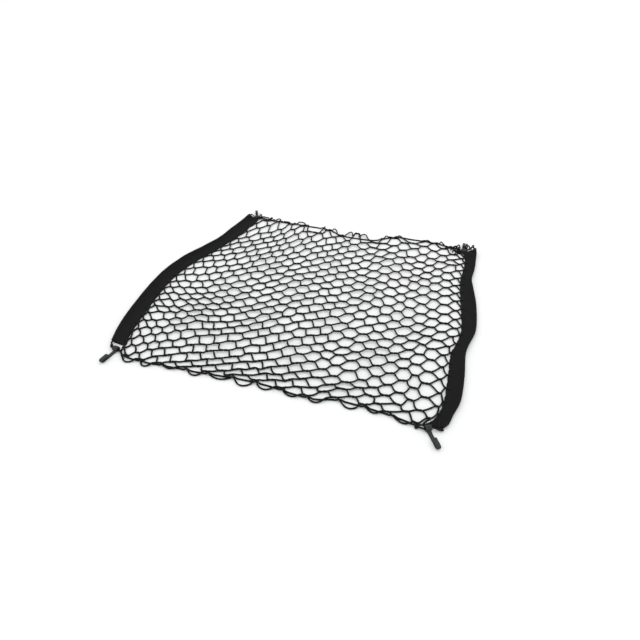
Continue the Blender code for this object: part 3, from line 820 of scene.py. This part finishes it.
def stitches_piece(side):
    """All the stitches of one band: lines of six points on the tape's upper surface."""
    start, end = band_reach(side)
    first = np.arange(start + STITCH_PITCH, end - STITCH_PITCH, STITCH_PITCH)[:, None]
    share = np.linspace(0, 1, STITCH_POINTS)
    y = first + STITCH_LENGTH * share
    upper = slice(None, np.argmax(section_share), -1)
    height = np.interp(STITCH_SHARE, section_share[upper], section_height[upper])
    line = band_surface(side, y, np.full_like(y, STITCH_SHARE), height, 1.0)
    line[..., 2] += STITCH_RISE * (np.sin(math.pi * share) - 0.5)
    piece = tube("stitches_" + side, line, THREAD_RADIUS, THREAD_SIDES)
    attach(piece, "root")
    return piece


stitches = {side: stitches_piece(side) for side in BANDS}

# %% [markdown]
# ## The hooks
# A hook is moulded in one: an eye for the elastic, a slim shank that lies on the floor, a bend, and
# an arm turned back over the shank. Shank and arm are one closed sweep along a path seen from the
# side, with a superellipse as section, whose width and thickness change on the way. The eye is a
# rounded section turned about the elastic.

# %% Hook shapes
EYE_MIDDLE = 4.7  # from the middle of the hole to the middle of the eye's wall
EYE_WALL = 1.5  # half the wall's thickness
EYE_HEIGHT = 6.25
EYE_WIDE = 6.6  # half the eye's width
EYE_FLATNESS = 0.45  # the power p of the eye's section, and of the shank's
SHANK_FLATNESS = 0.38
RIB_HEIGHT = 0.16  # of the rib along the shank, as a share of its thickness
RIB_WIDTH = 0.2
ROUNDED_END = (0.0, 0.45, 0.78, 0.95)  # the first stations' size, as a share of the full one
ROUNDED_WIDTH = 0.6  # no station but the very last is narrower than this share
OFF_FLOOR = 0.02 * MM
HOOK_STEPS = 4
HOOK_AROUND = 24
EYE_SECTION = 20
EYE_AROUND = 36
# Stations along the hook, in millimetres: reach from the eye, height of the middle, half width,
# half thickness.
HOOK_STATIONS = (
    (1.0, 3.2, 5.6, 2.4), (4.0, 2.6, 5.4, 2.3), (8.0, 1.95, 4.5, 1.75), (14.0, 1.75, 4.1, 1.65),
    (22.0, 1.7, 4.1, 1.65), (30.0, 1.7, 4.2, 1.65), (37.0, 1.7, 4.3, 1.65),
    (43.8, 1.75, 4.4, 1.6), (47.8, 3.1, 4.4, 1.45), (48.9, 5.9, 4.4, 1.35),
    (47.0, 8.3, 4.4, 1.3), (43.5, 9.0, 4.4, 1.3), (36.0, 9.0, 4.4, 1.3), (29.0, 9.0, 4.4, 1.35),
    (26.4, 9.0, 4.2, 1.25),
)


def fuller(values, power):
    """A sine or cosine with flatter tops: its sign times its size to a power below 1."""
    return np.sign(values) * np.abs(values) ** power


def swept_hook():
    """The section at angle t is (half width * sign(cos t) |cos t|^p, half thickness * the same of
    sin t), square to the path; p below 1 gives flat sides with rounded corners."""
    table = curve_through(np.array(HOOK_STATIONS), HOOK_STEPS) * MM
    path, half_width, half_thick = table[:, :2], table[:, 2:3], table[:, 3:4]
    way = unit(np.gradient(path, axis=0))
    outward = np.stack([way[:, 1], -way[:, 0]], axis=1)
    angle = np.linspace(0, FULL_TURN, HOOK_AROUND, endpoint=False)
    side = fuller(np.cos(angle), SHANK_FLATNESS)
    rise = fuller(np.sin(angle), SHANK_FLATNESS)
    rib = 1 + RIB_HEIGHT * np.exp(-(np.cos(angle) / RIB_WIDTH) ** 2) * (rise < 0)
    middle = np.ones(len(path) - 2 * len(ROUNDED_END))
    shrink = np.concatenate([ROUNDED_END, middle, ROUNDED_END[::-1]])[:, None]
    thick = half_thick * rise * rib * shrink
    s = path[:, :1] + thick * outward[:, :1]
    z = path[:, 1:] + thick * outward[:, 1:]
    w = half_width * side * np.maximum(shrink, ROUNDED_WIDTH * (shrink > 0))
    return np.stack([s, w, np.maximum(z, OFF_FLOOR)], axis=-1)


def eye_ring():
    """A rounded rectangle, half the eye's width and its wall, turned about the cross axis."""
    angle = np.linspace(0, FULL_TURN, EYE_SECTION, endpoint=False)
    w = EYE_WIDE * MM * fuller(np.cos(angle), EYE_FLATNESS)
    r = (EYE_MIDDLE + EYE_WALL * fuller(np.sin(angle), EYE_FLATNESS)) * MM
    turned = np.linspace(0, FULL_TURN, EYE_AROUND + 1)[:, None]
    s = r * np.cos(turned)
    z = EYE_HEIGHT * MM + r * np.sin(turned)
    return np.stack(np.broadcast_arrays(s, w, z), axis=-1)


def placed(grid, corner):
    """The shape turned to the hook's heading and moved to its eye's place on the plan."""
    x, y, heading = HOOKS[corner]
    turn = math.radians(heading)
    place = in_plan((x, y))
    s, w, z = np.moveaxis(grid, -1, 0)
    return np.stack([place[0] + s * math.cos(turn) - w * math.sin(turn),
                     place[1] + s * math.sin(turn) + w * math.cos(turn), z], axis=-1)


def hook_piece(corner):
    """Body and eye at one corner, as one mesh."""
    parts = [(placed(swept_hook(), corner)[None], 0.0, 0.0, True, True),
             (placed(eye_ring(), corner)[None], 0.0, 0.0, True, False)]
    piece = piece_from_grids("moulded_hook_" + corner, parts)
    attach(piece, "root")
    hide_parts("hook_" + corner)
    return piece


hooks = [hook_piece(corner) for corner in HOOKS]

# %% [markdown]
# ## Finishes
# All the textiles are black, and what tells them apart is how they take the light: twine and
# elastic are braids, the tape a flat weave with ribs along it. Their patterns are node groups, and
# each material gives its own scale.

# %% Node helpers
def feed(tree, made, inputs):
    """Set or link a node's inputs, each by its name or number."""
    for name, value in inputs.items():
        if isinstance(value, bpy.types.NodeSocket):
            tree.links.new(value, made.inputs[name])
        else:
            made.inputs[name].default_value = value
    return made


def node(tree, kind, inputs, **settings):
    """A node with its properties set and its inputs fed."""
    made = tree.nodes.new("ShaderNode" + kind)
    for name, value in settings.items():
        setattr(made, name, value)
    return feed(tree, made, inputs)


def maths(tree, operation, *values):
    """One Math node and its result."""
    return node(tree, "Math", dict(enumerate(values)), operation=operation).outputs[0]


def new_group(name, numbers, outputs):
    """An empty node group: a place and some numbers go in, numbers come out."""
    group = bpy.data.node_groups.new(name, "ShaderNodeTree")
    group.interface.new_socket("Place", in_out="INPUT", socket_type="NodeSocketVector")
    for way, labels in (("INPUT", numbers), ("OUTPUT", outputs)):
        for label in labels:
            group.interface.new_socket(label, in_out=way, socket_type="NodeSocketFloat")
    return group, group.nodes.new("NodeGroupInput"), group.nodes.new("NodeGroupOutput")


def pattern_group(name):
    """A group for a textile: the place along it and across it, each times its own scale."""
    group, given, result = new_group(name, ("Along", "Across"), ("Height", "Mask"))
    split = node(group, "SeparateXYZ", {0: given.outputs["Place"]})
    along = maths(group, "MULTIPLY", split.outputs["X"], given.outputs["Along"])
    across = maths(group, "MULTIPLY", split.outputs["Y"], given.outputs["Across"])
    return group, result, along, across


def new_material(name):
    """A material with its node tree and its shader."""
    made = bpy.data.materials.new(name)
    made.use_nodes = True
    return made, made.node_tree, made.node_tree.nodes["Principled BSDF"]

# %% [markdown]
# ## Braid
# A braid's strands wind round it both ways, over and under each other. At this size two sine waves
# that slant against each other do as well: the higher one shows. It also paints the colour lighter
# on the strands' tops as painted highlight, and darker between them as painted shade.

# %% Braid group
def braid_group():
    """Ridges sin(along + across) and sin(along - across); the higher one shows."""
    group, result, along, across = pattern_group("braid")
    one = maths(group, "SINE", maths(group, "ADD", along, across))
    other = maths(group, "SINE", maths(group, "SUBTRACT", along, across))
    highest = maths(group, "MAXIMUM", one, other)
    # The higher wave also paints the colour: lighter on the strands' tops as painted highlight,
    # darker between them as painted shade.
    ridge_highlight = maths(group, "MULTIPLY_ADD", highest, 0.5, 0.5)
    feed(group, result, {"Height": highest, "Mask": ridge_highlight})
    return group


BRAID = braid_group()
print("group", BRAID.name)

# %% [markdown]
# ## Weave
# The tape's warp threads stand up as ribs along it, and the cross threads break each rib into
# short steps. The ribs also set the painted highlight: the lighter colour sits on their tops, and
# the darker one in the grooves between them as painted shade.

# %% Weave group
WEAVE_STEP = 0.6  # height of the steps, against the ribs' 1


def weave_group():
    """Ribs |sin across|, plus the checker sin along * sin across."""
    group, result, along, across = pattern_group("weave")
    wave = maths(group, "SINE", across)
    rib = maths(group, "ABSOLUTE", wave)
    checker = maths(group, "MULTIPLY", maths(group, "SINE", along), wave)
    height = maths(group, "MULTIPLY_ADD", checker, WEAVE_STEP, rib)
    # The ribs also paint the colour: lighter on their tops as painted highlight, darker in the
    # grooves as painted shade.
    feed(group, result, {"Height": height, "Mask": rib})
    return group


WEAVE = weave_group()
print("group", WEAVE.name)

# %% [markdown]
# ## Wear
# A handled net is a little faded in patches and carries lint. Both are noise on the piece's own
# place, one coarse and one very fine. The plastic takes only the fade.

# %% Wear group
PATCH_SCALE = 14.0  # patches in a metre
LINT_SCALE = 900.0


def noise(tree, place, scale, detail):
    """One noise at a place, as a number from 0 to 1."""
    inputs = {"Vector": place, "Scale": scale, "Detail": detail}
    return node(tree, "TexNoise", inputs).outputs[0]


def wear_group():
    """Two sizes of noise on the piece: cloudy patches of fade, and fine lint."""
    group, given, result = new_group("fade and lint", (), ("Fade", "Lint"))
    place = given.outputs["Place"]
    feed(group, result, {"Fade": noise(group, place, PATCH_SCALE, 3.0),
                         "Lint": noise(group, place, LINT_SCALE, 2.0)})
    return group


WEAR = wear_group()
print("group", WEAR.name)

# %% [markdown]
# ## Textile finish
# One recipe does for twine, elastic and tape. The colour is painted a little lighter on the
# pattern's tops as painted highlight and darker in its hollows as painted shade; the thread has
# hardly any shine, and the pattern's height goes to the bump.

# %% Textile materials
# Share of the colour's change that is painted highlight on the pattern's tops and painted shade in
# its hollows.
HIGHLIGHT_SHARE = 0.6  # the rest of the colour's change comes from the fade
LINT_ROUGHNESS = 0.2
LINT_HEIGHT = 0.4
TEXTILE_SHINE = 0.12


def textile(name, pattern, along, across, dark, light, roughness, depth):
    """Base colour is dark + (light - dark) * (0.6 painted highlight + 0.4 fade): the tops painted
    lighter and the hollows darker as painted light and shade, and patches faded by wear; lint makes
    it rougher.
    """
    made, tree, shader = new_material(name)
    place = node(tree, "UVMap", {}, uv_map="UVMap").outputs[0]
    solid = node(tree, "TexCoord", {}).outputs["Object"]
    cloth = node(tree, "Group", {0: place, 1: along, 2: across}, node_tree=pattern)
    fade, lint = node(tree, "Group", {0: solid}, node_tree=WEAR).outputs
    faded = maths(tree, "MULTIPLY", fade, 1 - HIGHLIGHT_SHARE)
    lit = maths(tree, "MULTIPLY_ADD", cloth.outputs["Mask"], HIGHLIGHT_SHARE, faded)
    colour = node(tree, "Mix", {0: lit, 6: dark, 7: light}, data_type="RGBA")
    raised = maths(tree, "MULTIPLY_ADD", lint, LINT_HEIGHT, cloth.outputs["Height"])
    bump = node(tree, "Bump", {"Height": raised, "Distance": depth, "Strength": 1.0})
    feed(tree, shader, {
        "Base Color": colour.outputs[2], "Normal": bump.outputs[0],
        "Roughness": maths(tree, "MULTIPLY_ADD", lint, LINT_ROUGHNESS, roughness),
        "Specular IOR Level": TEXTILE_SHINE})
    return made


# dark is the thread's tone in the painted shade of the hollows, light its tone under the painted
# highlight on the tops; the fade mixes them too.
TWINE = textile(
    "black braided twine", BRAID, along=FULL_TURN / (3.2 * MM), across=2 / (1.3 * MM),
    dark=(0.0030, 0.0034, 0.0034, 1), light=(0.0100, 0.0112, 0.0112, 1), roughness=0.55,
    depth=0.10 * MM)
ELASTIC = textile(
    "black braided elastic", BRAID, along=FULL_TURN / (2.4 * MM), across=4 / (2.0 * MM),
    dark=(0.0028, 0.0031, 0.0031, 1), light=(0.0090, 0.0098, 0.0098, 1), roughness=0.55,
    depth=0.10 * MM)
TAPE = textile(
    "black woven tape", WEAVE, along=FULL_TURN / (1.3 * MM), across=FULL_TURN / (2.6 * MM),
    dark=(0.0034, 0.0036, 0.0034, 1), light=(0.0098, 0.0103, 0.0098, 1), roughness=0.75,
    depth=0.12 * MM)
print("textiles:", TWINE.name, ELASTIC.name, TAPE.name)

# %% [markdown]
# ## Plastic finish
# The hooks are moulded in dark grey nylon, which is satin and finely grained. A very fine noise
# gives the grain, both as bump and as roughness.

# %% Plastic material
GRAIN_SCALE = 1800.0
GRAIN_DEPTH = 0.05 * MM
GRAIN_ROUGHNESS = 0.25
PLASTIC_ROUGHNESS = 0.33
PLASTIC_SHINE = 0.3


def moulded_plastic():
    """Dark grey, fading by patches between two tones, with a fine moulded grain."""
    made, tree, shader = new_material("dark grey moulded plastic")
    solid = node(tree, "TexCoord", {}).outputs["Object"]
    grain = noise(tree, solid, GRAIN_SCALE, 2.0)
    fade = node(tree, "Group", {0: solid}, node_tree=WEAR).outputs["Fade"]
    tones = {6: (0.014, 0.0155, 0.0155, 1), 7: (0.024, 0.0265, 0.0265, 1)}
    colour = node(tree, "Mix", {0: fade, **tones}, data_type="RGBA")
    bump = node(tree, "Bump", {"Height": grain, "Distance": GRAIN_DEPTH, "Strength": 0.6})
    feed(tree, shader, {
        "Base Color": colour.outputs[2], "Normal": bump.outputs[0],
        "Roughness": maths(tree, "MULTIPLY_ADD", grain, GRAIN_ROUGHNESS, PLASTIC_ROUGHNESS),
        "Specular IOR Level": PLASTIC_SHINE})
    return made


PLASTIC = moulded_plastic()
for pieces, finish in (([netting, gathered, *stitches.values()], TWINE), (elastics, ELASTIC),
                       (bands.values(), TAPE), (hooks, PLASTIC)):
    for piece in pieces:
        piece.data.materials.append(finish)
print("plastic:", PLASTIC.name)

# %% [markdown]
# ## Floor
# The net lies on a plain pale floor that runs out of the picture. It is a hair below the part, so
# that no two faces share a plane.

# %% Floor
FLOOR_HALF = 30.0
FLOOR_DROP = 0.2 * MM
floor_grid = np.array(((-1, -1, 0), (-1, 1, 0), (1, -1, 0), (1, 1, 0)), float).reshape(1, 2, 2, 3)
floor_grid = floor_grid * FLOOR_HALF - (0, 0, FLOOR_DROP)
floor = piece_from_grids("floor", [(floor_grid, 0.0, 0.0, False, False)])
pale, tree, shader = new_material("pale floor")
feed(tree, shader, {"Base Color": (0.895, 0.905, 0.90, 1), "Roughness": 0.7})
floor.data.materials.append(pale)

# %% [markdown]
# ## Light
# The photograph is lit from all round, so its shadows are short and faint. A white room gives
# nearly all the light, and a large soft disk gives the shadows a direction. The plain view
# transform keeps black and white as they are.

# %% Light
SKY_STRENGTH = 1.11
LAMP_SIZE = 2.4
LAMP_POWER = 4.0
LAMP_PLACE = (0.3, 0.8, 2.6)
LAMP_TILT = math.radians(-17)

world = bpy.data.worlds.new("pale room")
world.use_nodes = True
sky = world.node_tree.nodes["Background"]
feed(world.node_tree, sky, {"Color": (1.0, 1.0, 1.0, 1.0), "Strength": SKY_STRENGTH})
bpy.context.scene.world = world
bpy.context.scene.view_settings.view_transform = "Standard"

lamp_data = bpy.data.lights.new("soft box", "AREA")
lamp_data.shape = "DISK"
lamp_data.size = LAMP_SIZE
lamp_data.energy = LAMP_POWER
lamp = add_object("soft box", lamp_data)
lamp.matrix_world = Matrix.Translation(LAMP_PLACE) @ Matrix.Rotation(LAMP_TILT, 4, "X")
print("light:", LAMP_POWER, "W, sky", SKY_STRENGTH)
